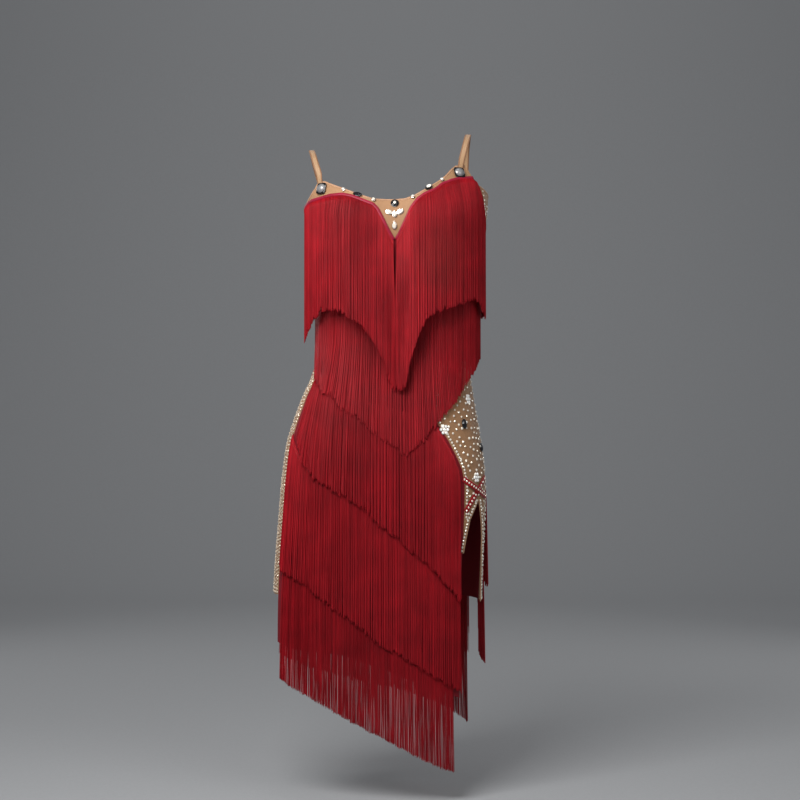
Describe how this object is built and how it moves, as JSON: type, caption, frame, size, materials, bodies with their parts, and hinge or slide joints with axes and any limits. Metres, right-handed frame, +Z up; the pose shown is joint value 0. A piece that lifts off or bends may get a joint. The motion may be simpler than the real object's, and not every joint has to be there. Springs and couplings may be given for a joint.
{
  "type": "latin dance dress",
  "caption": "Knee-length latin dance dress with shoulder straps, a nude mesh yoke and side panels, slanting tiers of long fringe, a side slit and crossed bands above it, in its hollow worn form",
  "frame": {"origin": "On the shoulder line, midway between the tops of the two shoulder straps, where the wearer holds the dress up", "axes": "+Z up along the length of the dress, +X towards the wearer's left, -Y towards the front"},
  "size_m": [0.373, 0.2616, 1.0935],
  "materials": {
    "fringe": "satin",
    "red_cloth": "matt",
    "nude_mesh": "matt",
    "band": "satin",
    "strap": "satin",
    "pearl": "gloss",
    "crystal": "gloss",
    "jet": "gloss"
  },
  "bodies": {
    "root": {"fringe_front_1_right": "fringe", "fringe_front_1_left": "fringe", "fringe_front_2": "fringe", "fringe_front_3": "fringe", "fringe_front_4": "fringe", "fringe_front_5": "fringe", "fringe_back_1": "fringe", "fringe_back_2": "fringe", "fringe_back_3": "fringe", "fringe_back_4": "fringe", "fringe_back_5": "fringe", "bodice_front": "red_cloth", "bodice_back": "red_cloth", "skirt_front": "red_cloth", "skirt_back": "red_cloth", "front_yoke": "nude_mesh", "back_yoke": "nude_mesh", "side_left": "nude_mesh", "side_right": "nude_mesh", "band_under": "band", "band_over": "band", "strap_left": "strap", "strap_right": "strap", "dome_left": "pearl", "dome_right": "pearl", "stone_neck_right_outer": "crystal", "stone_neck_right_inner": "crystal", "stone_petal_right": "crystal", "stone_petal_lower": "crystal", "stone_petal_left": "crystal", "stone_drop": "crystal", "stone_neck_left_inner": "crystal", "stone_neck_left_outer": "crystal", "stone_neck_right_oval": "jet", "stone_centre_round": "jet", "stone_neck_left_oval": "jet", "stone_side_front": "jet", "stone_side_back": "jet"}
  },
  "joints": []
}
